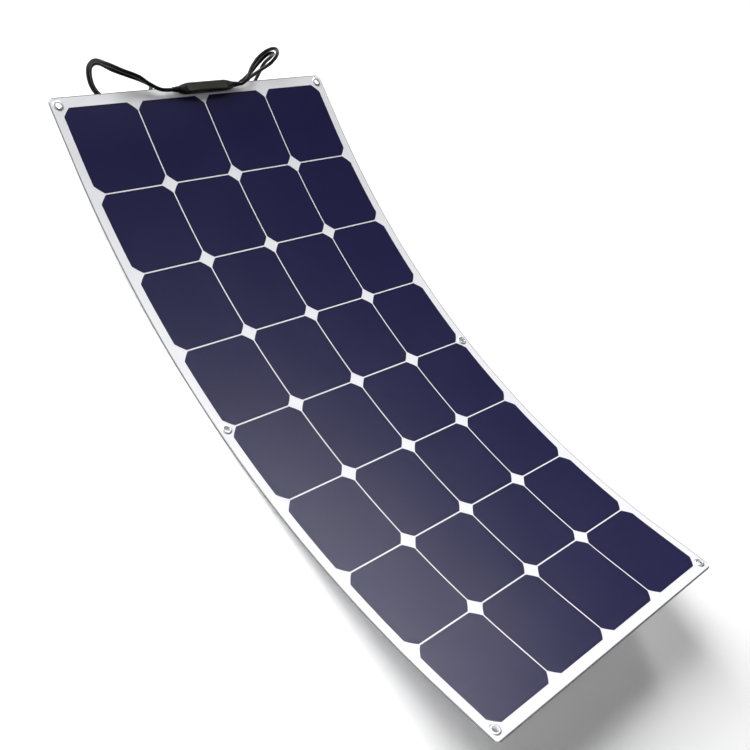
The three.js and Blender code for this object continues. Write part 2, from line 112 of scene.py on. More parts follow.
CELL = 125.8 * MM
CELL_CIRCLE = 80 * MM
END_CELL_EXTRA = 8 * MM
HALF_WIDTH = 270 * MM
HEAD_EDGE = 88 * MM
FOOT_EDGE = -ARC - 88 * MM
CORNER = 10 * MM
BACK_TOP = 2.0 * MM
CELL_BOTTOM = 2.02 * MM
CELL_TOP = 2.22 * MM
FILM_BOTTOM = 2.35 * MM
FILM_TOP = 3.0 * MM
EYELET_BARREL = 4.7 * MM
EYELET_FLANGE = 7.8 * MM
EYELET_X = 257 * MM
EYELETS = {
    "head": HEAD_EDGE - 12 * MM,
    "middle": row_middle(4.5),
    "foot": FOOT_EDGE + 15 * MM,
}
BOX_X = 10 * MM
BOX_Y = HEAD_EDGE - 6.5 * MM
LEAD_DIAMETER = 6 * MM
LEAD_HEIGHT = 8.6 * MM
RELIEF_ROOT = 37.3 * MM
RELIEF_RIBS_FROM = 54.4 * MM
RELIEF_TIP = 67 * MM
CLEARANCE = 0.3 * MM

# ---------------------------------------------------------------- camera

CAMERA_LENS = 51.99
CAMERA_PLACE = Vector((-1.1209, -0.39863, 1.12245))
CAMERA_RIGHT = Vector((0.66828, -0.55118, 0.4996))
CAMERA_UP = Vector((0.25412, 0.80033, 0.54304))


def make_camera():
    data = bpy.data.cameras.new("camera")
    data.lens = CAMERA_LENS
    data.sensor_width = 36
    data.clip_start = 0.05
    data.clip_end = 50
    camera = bpy.data.objects.new("camera", data)
    bpy.context.scene.collection.objects.link(camera)
    right = CAMERA_RIGHT.normalized()
    back = right.cross(CAMERA_UP).normalized()
    up = back.cross(right)
    turn = Matrix((right, up, back)).transposed().to_4x4()
    camera.matrix_world = Matrix.Translation(CAMERA_PLACE) @ turn
    bpy.context.scene.camera = camera


make_camera()

# ---------------------------------------------------------------- material helpers


def new_material(name):
    material = bpy.data.materials.new(name)
    material.use_nodes = True
    return material, material.node_tree, material.node_tree.nodes["Principled BSDF"]


def settings(shader, **values):
    for name, value in values.items():
        shader.inputs[name.replace("_", " ")].default_value = value


def node(tree, kind, inputs=None, **options):
    made = tree.nodes.new(kind)
    for name, value in options.items():
        setattr(made, name, value)
    for name, value in (inputs or {}).items():
        if isinstance(value, bpy.types.NodeSocket):
            tree.links.new(value, made.inputs[name])
        else:
            made.inputs[name].default_value = value
    return made


def place_of(tree, flat):
    """Coordinates to lay a pattern by: the sheet's own flat ones, or the piece's."""
    if flat:
        return node(tree, "ShaderNodeUVMap", uv_map="flat").outputs["UV"]
    return node(tree, "ShaderNodeTexCoord").outputs["Object"]


def noise(tree, where, scale, detail=3.0, roughness=0.5):
    inputs = {"Vector": where, "Scale": scale, "Detail": detail, "Roughness": roughness}
    return node(tree, "ShaderNodeTexNoise", inputs).outputs["Fac"]


def ramp(tree, value, low, high, out_low=0.0, out_high=1.0):
    inputs = {"Value": value, "From Min": low, "From Max": high, "To Min": out_low, "To Max": out_high}
    return node(tree, "ShaderNodeMapRange", inputs).outputs["Result"]


def mix(tree, factor, first, second):
    made = node(tree, "ShaderNodeMix", data_type="RGBA")
    for socket, value in ((made.inputs[0], factor), (made.inputs[6], first), (made.inputs[7], second)):
        if isinstance(value, bpy.types.NodeSocket):
            tree.links.new(value, socket)
        elif isinstance(value, (int, float)):
            socket.default_value = value
        else:
            socket.default_value = (*value, 1)
    return made.outputs[2]


def bump(tree, height, strength, distance, normal=None):
    inputs = {"Height": height, "Strength": strength, "Distance": distance}
    if normal is not None:
        inputs["Normal"] = normal
    return node(tree, "ShaderNodeBump", inputs).outputs["Normal"]


def maths(tree, operation, first, second=0.0):
    made = node(tree, "ShaderNodeMath", operation=operation)
    for socket, value in zip(made.inputs, (first, second)):
        if isinstance(value, bpy.types.NodeSocket):
            tree.links.new(value, socket)
        else:
            socket.default_value = value
    return made.outputs[0]


# ---------------------------------------------------------------- materials


def cell_material():
    """Back-contact silicon under clear film: dark navy, a little paler inside a thin dark rim.

    A range of roughness that went below about 0.275 left smudges in the denoised render.
    """
    material, tree, shader = new_material("silicon_cell")
    where = place_of(tree, True)
    cloud = noise(tree, where, 9.0, 4.0)
    grain = noise(tree, where, 900.0, 2.0)
    own = node(tree, "ShaderNodeUVMap", uv_map="cell").outputs["UV"]
    parts = node(tree, "ShaderNodeSeparateXYZ", {"Vector": own}).outputs
    edge = maths(tree, "MAXIMUM", maths(tree, "ABSOLUTE", parts["X"]), maths(tree, "ABSOLUTE", parts["Y"]))
    rim = ramp(tree, edge, 0.475, 0.5)
    base = mix(tree, ramp(tree, cloud, 0.3, 0.7), (0.0040, 0.0034, 0.036), (0.0054, 0.0045, 0.042))
    speckled = mix(tree, ramp(tree, grain, 0.45, 0.75, 0.0, 0.12), base, (0.009, 0.0080, 0.054))
    tree.links.new(mix(tree, rim, speckled, (0.002, 0.0016, 0.026)), shader.inputs["Base Color"])
    tree.links.new(ramp(tree, cloud, 0.3, 0.7, 0.278, 0.294), shader.inputs["Roughness"])
    film = noise(tree, where, 420.0, 3.0)
    tree.links.new(bump(tree, film, 0.02, 0.0002), shader.inputs["Normal"])
    settings(shader, IOR=1.45, Specular_IOR_Level=0.25, Specular_Tint=(0.92, 0.92, 1.0, 1.0))
    return material


WEAVE_PITCH = 1.6 * MM
# Width of the grey rim along the edge: partly the laminate's own grey edge, partly painted edge shade.
EDGE_GREY_AND_SHADE_RIM = 1.0 * MM
# Width of a darker band of painted shade along the foot's edge.
FOOT_SHADE_RIM = 1.6 * MM


def backsheet_material():
    """White fibre-reinforced back sheet, with a faint weave, a grey rim that is partly its own grey edge and
    partly painted edge shade, and a darker band of painted shade at the foot.
    """
    material, tree, shader = new_material("white_backsheet")
    where = place_of(tree, True)
    cloud = noise(tree, where, 14.0, 5.0)
    fine = noise(tree, where, 1400.0, 2.0)
    parts = node(tree, "ShaderNodeSeparateXYZ", {"Vector": where}).outputs
    turns = 2 * math.pi / WEAVE_PITCH
    warp = maths(tree, "SINE", maths(tree, "MULTIPLY", parts["X"], turns))
    weft = maths(tree, "SINE", maths(tree, "MULTIPLY", parts["Y"], turns))
    weave = maths(tree, "MULTIPLY", warp, weft)
    base = mix(tree, ramp(tree, cloud, 0.35, 0.75), (0.71, 0.71, 0.735), (0.66, 0.66, 0.69))
    length = maths(tree, "ABSOLUTE", maths(tree, "SUBTRACT", parts["Y"], (HEAD_EDGE + FOOT_EDGE) / 2))
    from_side = maths(tree, "SUBTRACT", HALF_WIDTH, maths(tree, "ABSOLUTE", parts["X"]))
    from_end = maths(tree, "SUBTRACT", (HEAD_EDGE - FOOT_EDGE) / 2, length)
    # A grey rim along the sides and ends: partly the laminate's grey edge, partly painted shade of the edge.
    inside = ramp(tree, maths(tree, "MINIMUM", from_side, from_end), EDGE_GREY_AND_SHADE_RIM, 1.5 * EDGE_GREY_AND_SHADE_RIM)
    grey_edge_and_shade = mix(tree, inside, (0.17, 0.17, 0.175), base)
    # A darker band of painted shade along the foot's edge, standing for the edge in shadow.
    foot_shade_mask = ramp(tree, maths(tree, "SUBTRACT", parts["Y"], FOOT_EDGE), FOOT_SHADE_RIM, 1.5 * FOOT_SHADE_RIM)
    tree.links.new(mix(tree, foot_shade_mask, (0.055, 0.055, 0.055), grey_edge_and_shade), shader.inputs["Base Color"])
    tree.links.new(ramp(tree, cloud, 0.3, 0.7, 0.34, 0.46), shader.inputs["Roughness"])
    cloth = bump(tree, weave, 0.10, 0.0001)
    tree.links.new(bump(tree, fine, 0.08, 0.0002, cloth), shader.inputs["Normal"])
    settings(shader, IOR=1.45)
    return material


def film_material():
    """Clear front film: nearly invisible, a faint veil over the cells."""
    material, tree, shader = new_material("clear_film")
    where = place_of(tree, True)
    haze = noise(tree, where, 6.0, 3.0)
    tree.links.new(mix(tree, ramp(tree, haze, 0.3, 0.7), (0.10, 0.10, 0.14), (0.16, 0.16, 0.20)),
                   shader.inputs["Base Color"])
    settings(shader, Alpha=0.015, Roughness=0.3)
    return material


def metal_material(name, colour, dark, roughness):
    material, tree, shader = new_material(name)
    where = place_of(tree, False)
    patch = noise(tree, where, 180.0, 4.0)
    scratch = noise(tree, where, 1500.0, 2.0)
    tree.links.new(mix(tree, ramp(tree, patch, 0.4, 0.75), colour, dark), shader.inputs["Base Color"])
    tree.links.new(ramp(tree, patch, 0.3, 0.7, roughness, roughness + 0.14), shader.inputs["Roughness"])
    tree.links.new(bump(tree, scratch, 0.15, 0.0001), shader.inputs["Normal"])
    settings(shader, Metallic=1.0)
    return material


def plastic_material(name, colour, pale, roughness, grain, depth, shine=0.5):
    """Moulded plastic or rubber: a fine spark-eroded grain, with paler rubbed patches."""
    material, tree, shader = new_material(name)
    where = place_of(tree, False)
    patch = noise(tree, where, 60.0, 5.0)
    texture = noise(tree, where, grain, 2.0)
    tree.links.new(mix(tree, ramp(tree, patch, 0.45, 0.8), colour, pale), shader.inputs["Base Color"])
    tree.links.new(ramp(tree, patch, 0.3, 0.7, roughness, roughness + 0.12), shader.inputs["Roughness"])
    tree.links.new(bump(tree, texture, 0.35, depth), shader.inputs["Normal"])
    settings(shader, Specular_IOR_Level=shine)
    return material


MATERIALS = {
    "cell": cell_material(),
    "backsheet": backsheet_material(),
    "film": film_material(),
    "eyelet": metal_material("nickel_eyelet", (0.80, 0.81, 0.83), (0.55, 0.55, 0.56), 0.30),
    "terminal": metal_material("tinned_copper", (0.72, 0.43, 0.27), (0.45, 0.25, 0.15), 0.28),
    "contact": metal_material("tinned_contact", (0.66, 0.66, 0.64), (0.42, 0.41, 0.38), 0.22),
    "box": plastic_material(
        "black_plastic", (0.0022, 0.0022, 0.002), (0.006, 0.006, 0.0052), 0.36, 1800.0, 0.00008, 0.30),
    "lid": plastic_material(
        "olive_lid_plastic", (0.013, 0.013, 0.0085), (0.022, 0.022, 0.015), 0.36, 1800.0, 0.00008, 0.30),
    "seal": plastic_material(
        "foam_tape", (0.012, 0.012, 0.012), (0.03, 0.03, 0.03), 0.85, 1200.0, 0.0003),
    "relief": plastic_material(
        "relief_rubber", (0.0025, 0.0025, 0.0024), (0.006, 0.006, 0.0055), 0.45, 1500.0, 0.0001, 0.25),
    "lead": plastic_material(
        "cable_sheath", (0.0010, 0.0010, 0.0010), (0.0028, 0.0028, 0.0027), 0.30, 900.0, 0.00012, 0.20),
    "connector": plastic_material(
        "connector_plastic", (0.010, 0.010, 0.010), (0.026, 0.026, 0.025), 0.42, 1600.0, 0.0001, 0.4),
    "diode": plastic_material(
        "diode_epoxy", (0.012, 0.012, 0.014), (0.03, 0.03, 0.032), 0.35, 2000.0, 0.00005),
}

# ---------------------------------------------------------------- mesh helpers

SHARP = math.radians(32)


def finish_mesh(mesh, *materials):
    for material in materials:
        mesh.materials.append(MATERIALS[material])
    for face in mesh.polygons:
        face.use_smooth = True
    mesh.set_sharp_from_angle(angle=SHARP)


def new_object(name, bm, *materials):
    """An object in place of a bmesh, smooth but for its corners."""
    mesh = bpy.data.meshes.new(name)
    bmesh.ops.recalc_face_normals(bm, faces=bm.faces)
    bm.to_mesh(mesh)
    bm.free()
    finish_mesh(mesh, *materials)
    made = bpy.data.objects.new(name, mesh)
    bpy.context.scene.collection.objects.link(made)
    return made


def ring_strip(bm, rings, closed=False, caps=True):
    """Faces between rings of as many points each, with the ends closed."""
    loops = [[bm.verts.new(point) for point in ring] for ring in rings]
    count = len(loops[0])
    pairs = list(zip(loops, loops[1:]))
    if closed:
        pairs.append((loops[-1], loops[0]))
    for first, second in pairs:
        for index in range(count):
            after = (index + 1) % count
            bm.faces.new((first[index], first[after], second[after], second[index]))
    if caps and not closed:
        bm.faces.new(loops[0])
        bm.faces.new(reversed(loops[-1]))


def revolved(bm, profile, segments, matrix, closed=False):
    """A solid of revolution about local Z, from (radius, height) points."""
    rings = []
    for radius, height in profile:
        ring = []
        for index in range(segments):
            angle = 2 * math.pi * index / segments
            ring.append(matrix @ Vector((radius * math.cos(angle), radius * math.sin(angle), height)))
        rings.append(ring)
    ring_strip(bm, rings, closed)


def arc_points(centre, radius, start, end, steps):
    """Points on an arc, angles in degrees."""
    points = []
    for step in range(steps + 1):
        angle = math.radians(start + (end - start) * step / steps)
        points.append((centre[0] + radius * math.cos(angle), centre[1] + radius * math.sin(angle)))
    return points


def box_into(bm, low, high, matrix, bevel):
    """A box with rounded edges, added to a bmesh."""
    made = bmesh.ops.create_cube(bm, size=1.0)["verts"]
    for vert in made:
        local = [low[k] + (vert.co[k] + 0.5) * (high[k] - low[k]) for k in range(3)]
        vert.co = matrix @ Vector(local)
    edges = list({edge for vert in made for edge in vert.link_edges})
    if bevel:
        bmesh.ops.bevel(bm, geom=edges, offset=bevel, segments=2, affect="EDGES", profile=0.6)


# ---------------------------------------------------------------- leads

LEAD_STRAIGHT = 6 * MM
LEAD_ROUTES = {
    "left": [
        (-81, 514.5, 87.5), (-98, 523.5, 91.5), (-118.5, 528.5, 102.5), (-146, 537.5, 109),
        (-164.5, 552.5, 108.5), (-170, 570, 98), (-169.5, 577, 78.5), (-165.5, 572.5, 61.5),
        (-159, 564, 48), (-148.5, 551.5, 39.5), (-121.5, 546.5, 27), (-92, 545.5, 26), (-74, 541.5, 45.5),
        (-79, 534.5, 72), (-103, 533.5, 87.5), (-130.5, 537, 97), (-152.5, 548.5, 99), (-161.5, 569, 92),
        (-161, 581, 73.5), (-156.5, 578, 55), (-152, 566.5, 43.5), (-136.5, 555.5, 30.5),
        (-110.5, 564, 5), (-88.5, 574, 4.3), (-77, 574, 7.6), (-66, 574, 8.8), (-56, 574, 8.8),
    ],
    "right": [
        (97.5, 519.5, 88.5), (116.5, 537.5, 94.5), (135, 549.5, 104), (153.5, 555, 112.5), (180, 562, 107.5),
        (196.5, 565.5, 90.5), (196, 567.5, 69), (182.5, 568, 54), (165, 566.5, 39.5), (145.5, 560.5, 24.5),
        (119.5, 554, 26), (105.5, 545, 43), (108.5, 537, 62), (121.5, 539, 78.5), (138.5, 546.5, 95.5),
        (157, 553.5, 105), (180, 561.5, 97.5), (190.5, 570, 81), (194, 578, 56),
        (188.5, 572.5, 37.5), (167, 557, 22.5), (135, 548.5, 11), (89, 548, 4.8), (73, 546.5, 7.6),
        (60, 546, 8.8), (50, 546, 8.8),
    ],
}
LEAD_SIDES = 20
LEAD_STEP = 2.2 * MM


def centripetal(points, per_span=14):
    """A smooth curve through the points, the same one that the CAD tube follows."""
    guides = [points[0] * 2 - points[1], *points, points[-1] * 2 - points[-2]]
    curve = []
    for index in range(1, len(guides) - 2):
        p0, p1, p2, p3 = guides[index - 1:index + 3]
        t1 = (p1 - p0).length ** 0.5
        t2 = t1 + (p2 - p1).length ** 0.5
        t3 = t2 + (p3 - p2).length ** 0.5
        for step in range(per_span):
            t = t1 + (t2 - t1) * step / per_span
            a1 = p0 * ((t1 - t) / t1) + p1 * (t / t1)
            a2 = p1 * ((t2 - t) / (t2 - t1)) + p2 * ((t - t1) / (t2 - t1))
            a3 = p2 * ((t3 - t) / (t3 - t2)) + p3 * ((t - t2) / (t3 - t2))
            b1 = a1 * ((t2 - t) / t2) + a2 * (t / t2)
            b2 = a2 * ((t3 - t) / (t3 - t1)) + a3 * ((t - t1) / (t3 - t1))
            curve.append(b1 * ((t2 - t) / (t2 - t1)) + b2 * ((t - t1) / (t2 - t1)))
    curve.append(points[-1].copy())
    return curve


def evenly(curve, step):
    """The curve again, with points evenly far apart."""
    total = sum((b - a).length for a, b in zip(curve, curve[1:]))
    count = round(total / step)
    points = [curve[0].copy()]
    walked = 0.0
    for a, b in zip(curve, curve[1:]):
        length = (b - a).length
        while len(points) < count and walked + length >= len(points) * total / count:
            points.append(a.lerp(b, (len(points) * total / count - walked) / length))
        walked += length
    points.append(curve[-1].copy())
    return points, total


def tube(bm, points, radius, sides):
    """A round tube whose section is carried along without twist."""
    normal = (points[1] - points[0]).orthogonal().normalized()
    rings = []
    for index, point in enumerate(points):
        ahead = points[min(index + 1, len(points) - 1)] - points[max(index - 1, 0)]
        ahead.normalize()
        normal = (normal - ahead * normal.dot(ahead)).normalized()
        side = ahead.cross(normal)
        ring = []
        for turn in range(sides):
            angle = 2 * math.pi * turn / sides
            ring.append(point + (normal * math.cos(angle) + side * math.sin(angle)) * radius)
        rings.append(ring)
    ring_strip(bm, rings)


def connector_pieces(side, matrix):
    """A plug-in connector on a lead's end, its axis along local Z: body, ribbed cap nut and metal contact."""
    bm = bmesh.new()
    profile = [
        (3.3, 14.2), (6.5, 14.2), (7.0, 15.0), (7.4, 16.0), (7.4, 30.0), (6.9, 31.2), (6.2, 31.6),
        (6.1, 46.5), (5.6, 49.4), (5.1, 49.9), (4.6, 49.6), (4.2, 48.6), (4.1, 34.0), (3.3, 34.0),
    ]
    revolved(bm, [(r * MM, z * MM) for r, z in profile], 40, matrix, closed=True)
    for turn in range(2):
        spin = matrix @ Matrix.Rotation(math.pi * turn, 4, "Z")
        box_into(bm, (5.6 * MM, -2.4 * MM, 31.5 * MM), (7.5 * MM, 2.4 * MM, 44 * MM), spin, 0.5 * MM)
        box_into(bm, (6.6 * MM, -3.4 * MM, 16.5 * MM), (8.2 * MM, 3.4 * MM, 29.5 * MM), spin, 0.6 * MM)
        for rib in range(5):
            low = 18.2 * MM + rib * 2.2 * MM
            box_into(bm, (8.0 * MM, -2.6 * MM, low), (8.5 * MM, 2.6 * MM, low + 1.0 * MM), spin, 0.2 * MM)
    body = new_object(f"connector_{side}_body", bm, "connector")

    bm = bmesh.new()
    profile = [
        (3.05, 0.0), (4.2, 0.0), (5.0, 0.5), (5.9, 1.8), (6.4, 3.4), (6.5, 12.8), (6.1, 13.6), (5.0, 13.9),
        (3.05, 13.9),
    ]
    revolved(bm, [(r * MM, z * MM) for r, z in profile], 40, matrix, closed=True)
    for rib in range(12):
        spin = matrix @ Matrix.Rotation(2 * math.pi * rib / 12, 4, "Z")
        box_into(bm, (6.2 * MM, -0.6 * MM, 3.6 * MM), (6.95 * MM, 0.6 * MM, 12.4 * MM), spin, 0.25 * MM)
    nut = new_object(f"connector_{side}_nut", bm, "connector")

    bm = bmesh.new()
    profile = [(0.05, 14.0), (1.6, 14.0), (1.6, 44.0), (1.2, 46.0), (0.6, 47.0), (0.05, 47.2)]
    revolved(bm, [(r * MM, z * MM) for r, z in profile], 20, matrix)
    contact = new_object(f"connector_{side}_contact", bm, "contact")
    return body, nut, contact


def make_lead(side, sign):
    """A lead out of its strain relief, in the loops of its route, to the connector on the ground."""
    exit_x = RELIEF_TIP + CLEARANCE
    start = [
        bent((BOX_X + sign * (exit_x + out), BOX_Y, LEAD_HEIGHT)) for out in (0.0, LEAD_STRAIGHT)
    ]
    guides = start + [Vector(point) * MM for point in LEAD_ROUTES[side]]
    path, length = evenly(centripetal(guides), LEAD_STEP)
    bm = bmesh.new()
    tube(bm, path, LEAD_DIAMETER / 2, LEAD_SIDES)
    lead = new_object(f"lead_{side}_cable", bm, "lead")
    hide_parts(f"lead_{side}")
    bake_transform(lead)

    end = path[-1] - Vector((sign * CLEARANCE, 0, 0))
    matrix = Matrix.Translation(end) @ Matrix.Rotation(-sign * math.pi / 2, 4, "Y")
    pieces = connector_pieces(side, matrix)
    for piece in pieces:
        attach(piece, f"lead_{side}")
    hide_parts(f"connector_{side}")


for lead_side, lead_sign in (("left", -1), ("right", 1)):
    make_lead(lead_side, lead_sign)

# ---------------------------------------------------------------- laminate


def cut_rows(bm, low, high, step):
    """Cuts across the sheet, close enough together for a smooth bend."""
    count = max(1, round((high - low) / step))
    for index in range(1, count):
        geometry = bm.verts[:] + bm.edges[:] + bm.faces[:]
        plane = Vector((0, low + (high - low) * index / count, 0))
        bmesh.ops.bisect_plane(bm, geom=geometry, plane_co=plane, plane_no=(0, 1, 0), dist=1e-7)


def extruded(outline, low, high):
    bm = bmesh.new()
    face = bm.faces.new([bm.verts.new((x, y, low)) for x, y in outline])
    top = bmesh.ops.extrude_face_region(bm, geom=[face])["geom"]
    for vert in top:
        if isinstance(vert, bmesh.types.BMVert):
            vert.co.z = high
    bmesh.ops.recalc_face_normals(bm, faces=bm.faces)
    return bm


def sheet_outline(low, high):
    """A length of the sheet, with the sheet's own corners rounded."""
    head = high > HEAD_EDGE - 1e-6
    foot = low < FOOT_EDGE + 1e-6
    half = HALF_WIDTH
    points = []
    if foot:
        points += arc_points((-half + CORNER, low + CORNER), CORNER, 180, 270, 8)
        points += arc_points((half - CORNER, low + CORNER), CORNER, 270, 360, 8)
    else:
        points += [(-half, low), (half, low)]
    if head:
        points += arc_points((half - CORNER, high - CORNER), CORNER, 0, 90, 8)
        points += arc_points((-half + CORNER, high - CORNER), CORNER, 90, 180, 8)
    else:
        points += [(half, high), (-half, high)]
    return points


def bevel_rim(bm, height, low, high, width):
    """Rounds the sheet's own rim at one height, and leaves the seams between lengths alone."""
    rim = []
    for edge in bm.edges:
        ends = [vert.co for vert in edge.verts]
        level = all(abs(end.z - height) < 1e-7 for end in ends)
        at_seam = any(
            abs(seam - limit) > 1e-6 and all(abs(end.y - seam) < 1e-6 for end in ends)
            for seam, limit in ((low, FOOT_EDGE), (high, HEAD_EDGE))
        )
        if level and not at_seam:
            rim.append(edge)
    bmesh.ops.bevel(bm, geom=rim, offset=width, segments=2, affect="EDGES", profile=0.5)


def punched(bm, low, high, radius):
    """The same length with the eyelets' holes cut through it."""
    for y in EYELETS.values():
        if not low < y < high:
            continue
        for x in (-EYELET_X, EYELET_X):
            mesh = bpy.data.meshes.new("blank")
            bm.to_mesh(mesh)
            bm.free()
            blank = bpy.data.objects.new("blank", mesh)
            bpy.context.scene.collection.objects.link(blank)
            tool_bm = bmesh.new()
            matrix = Matrix.Translation((x, y, 0))
            revolved(tool_bm, [(radius, -0.01), (radius, 0.01)], 48, matrix)
            tool = new_object("punch", tool_bm, "eyelet")
            modifier = blank.modifiers.new("hole", "BOOLEAN")
            modifier.operation = "DIFFERENCE"
            modifier.solver = "EXACT"
            modifier.object = tool
            evaluated = blank.evaluated_get(bpy.context.evaluated_depsgraph_get())
            bm = bmesh.new()
            bm.from_mesh(evaluated.to_mesh())
            bpy.data.objects.remove(blank)
            bpy.data.objects.remove(tool)
            bpy.data.meshes.remove(mesh)
    return bm


def extra_length(row, y):
    """How much further than a square a cell reaches, on the side that y is of its middle."""
    at_end = (row == 1 and y > 0) or (row == ROWS and y < 0)
    return END_CELL_EXTRA if at_end else 0.0


def lay_flat_map(bm, cell_map=False):
    """Keeps each point's flat place as UVs, for patterns that bend with the sheet."""
    flat = bm.loops.layers.uv.new("flat")
    for face in bm.faces:
        for loop in face.loops:
            loop[flat].uv = loop.vert.co.xy
    if not cell_map:
        return
    local = bm.loops.layers.uv.new("cell")
    for face in bm.faces:
        middle = face.calc_center_median()
        column = round(middle.x / PITCH - 0.5) + 0.5
        row = 1 - max(1 - ROWS, min(0, round(middle.y / PITCH)))
        reach = CELL / 2 + extra_length(row, middle.y - row_middle(row))
        for loop in face.loops:
            x = (loop.vert.co.x - column * PITCH) / CELL
            loop[local].uv = (x, (loop.vert.co.y - row_middle(row)) / reach / 2)


def bend_into_place(bm):
    for vert in bm.verts:
        vert.co = bent(vert.co)


def follow_rows(piece, span):
    """Span 0 and the last one ride on the end rows, and the others stay where they were bent, with their
    placing baked in.
    """
    if span == 0:
        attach(piece, "row_1")
    elif span == ROWS:
        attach(piece, f"row_{ROWS}")
    else:
        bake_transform(piece)


def span_ends(span):
    high = HEAD_EDGE if span == 0 else row_middle(span)
    low = FOOT_EDGE if span == ROWS else row_middle(span + 1)
    return low, high


ROW_STEP = 5.4 * MM


def make_laminate(name, slot, span, bottom, top, hole, rim):
    low, high = span_ends(span)
    bm = extruded(sheet_outline(low, high), bottom, top)
    bevel_rim(bm, rim, low, high, 0.3 * MM)
    bm = punched(bm, low, high, hole)
    cut_rows(bm, low, high, ROW_STEP)
    lay_flat_map(bm)
    bend_into_place(bm)
    piece = new_object(f"{name}_{span}", bm, slot)
    follow_rows(piece, span)
    return piece


def cell_half(column_x, row, upper):
    """Half of a cell, a square whose corners one circle trims, which reaches further at the sheet's ends."""
    row_y = row_middle(row)
    extra = extra_length(row, 1 if upper else -1)
    side = CELL / 2
    trim = math.acos(side / CELL_CIRCLE)
    points = []
    for corner in range(4):
        start = math.degrees(corner * math.pi / 2 + trim)
        end = math.degrees((corner + 1) * math.pi / 2 - trim)
        points += arc_points((0, 0), CELL_CIRCLE, start, end, 6)
    half = [(x, y + extra if upper else y - extra) for x, y in points if (y > 0) == upper]
    half.sort(key=lambda point: math.atan2(point[1], point[0]))
    half = [(side, 0.0), *half, (-side, 0.0)] if upper else [(-side, 0.0), *half, (side, 0.0)]
    return [(column_x + x, row_y + y) for x, y in half]


def make_cells(span):
    """Lower halves of one row's cells and upper halves of the next's, which bend together."""
    low, high = span_ends(span)
    joined = bmesh.new()
    for row, upper in ((span, False), (span + 1, True)):
        if not 1 <= row <= ROWS:
            continue
        for column in range(COLUMNS):
            x = (column - (COLUMNS - 1) / 2) * PITCH
            bm = extruded(cell_half(x, row, upper), CELL_BOTTOM, CELL_TOP)
            mesh = bpy.data.meshes.new("half_cell")
            bm.to_mesh(mesh)
            bm.free()
            joined.from_mesh(mesh)
            bpy.data.meshes.remove(mesh)
    cut_rows(joined, low, high, ROW_STEP)
    lay_flat_map(joined, True)
    bend_into_place(joined)
    piece = new_object(f"cells_{span}", joined, "cell")
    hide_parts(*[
        f"cell_{row}_{column}" for row in (span, span + 1) if 1 <= row <= ROWS
        for column in range(1, COLUMNS + 1)
    ])
    follow_rows(piece, span)


for span in range(ROWS + 1):
    back = make_laminate("back", "backsheet", span, 0.0, BACK_TOP, EYELET_BARREL + 0.05 * MM, 0.0)
    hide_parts(*[f"backsheet_row_{row}" for row in (span, span + 1) if 1 <= row <= ROWS])
    film = make_laminate("film", "film", span, FILM_BOTTOM, FILM_TOP, EYELET_FLANGE + 0.2 * MM, FILM_TOP)
    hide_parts("front_film")
    make_cells(span)

# ---------------------------------------------------------------- eyelets


def make_eyelet(name, side, x, y):
    """A two-part pressed eyelet: domed front flange, barrel with a rolled lip, and flat back washer."""
    matrix = bent_matrix(x, y, 0)
    profile = [
        (4.05, 0.0), (7.4, 0.0), (7.75, 0.2), (7.75, 0.5), (7.5, 0.6), (4.7, 0.6), (4.7, 2.05), (7.5, 2.05),
        (7.8, 2.3), (7.8, 2.7), (7.5, 3.0), (6.9, 3.2), (6.0, 3.35), (5.2, 3.4), (4.7, 3.35), (4.3, 3.15),
        (4.1, 2.8), (4.0, 2.4), (4.0, 0.3),
    ]
    bm = bmesh.new()
    revolved(bm, [(r * MM, z * MM) for r, z in profile], 48, matrix, closed=True)
    ring = new_object(f"eyelet_{name}_{side}_ring", bm, "eyelet")
    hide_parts(f"eyelet_{name}_{side}")
    follow_rows(ring, {"head": 0, "middle": 4, "foot": ROWS}[name])


for eyelet_name, eyelet_y in EYELETS.items():
    make_eyelet(eyelet_name, "left", -EYELET_X, eyelet_y)
    make_eyelet(eyelet_name, "right", EYELET_X, eyelet_y)

# ---------------------------------------------------------------- junction box

BOX_MATRIX = bent_matrix(BOX_X, BOX_Y, 0)
BOX_STRAIGHT = 38 * MM
BOX_END = 54 * MM
BOX_HALF = 8 * MM
BOX_END_HALF = 4.75 * MM
CAVITY = (36 / 54, 6.4 / 8)
LID_LENGTH = 80 * MM
LID_WIDTH = 15.2 * MM
LID_CORNER = 3.5 * MM
BASE_RIBS = 4
BASE_RIB_PITCH = 3.2 * MM
RELIEF_RIBS = 5
RELIEF_RIB_PITCH = 2.4 * MM


def box_ring(inset, height, slant=0.0, scale=(1, 1)):
    """The box's outline at one height, drawn inwards by an inset, and by a slant more at its tapered ends."""
    end = BOX_END - inset
    half = BOX_HALF - inset
    end_half = BOX_END_HALF - inset
    lean = (BOX_STRAIGHT + end) / 2
    quarter = []
    for step in range(9):
        t = step / 8
        x = (1 - t) ** 2 * BOX_STRAIGHT + 2 * t * (1 - t) * lean + t * t * end
        y = (1 - t) ** 2 * half + 2 * t * (1 - t) * half + t * t * end_half
        quarter.append((x, y - slant * t * (2 - t)))
    straight = [(-BOX_STRAIGHT + 2 * BOX_STRAIGHT * step / 16, half) for step in range(1, 16)]
    left_top = [(-x, y) for x, y in reversed(quarter)]
    upper = left_top + straight + quarter
    ring = upper + [(x, -y) for x, y in reversed(upper)]
    return [BOX_MATRIX @ Vector((x * scale[0], y * scale[1], height)) for x, y in ring]


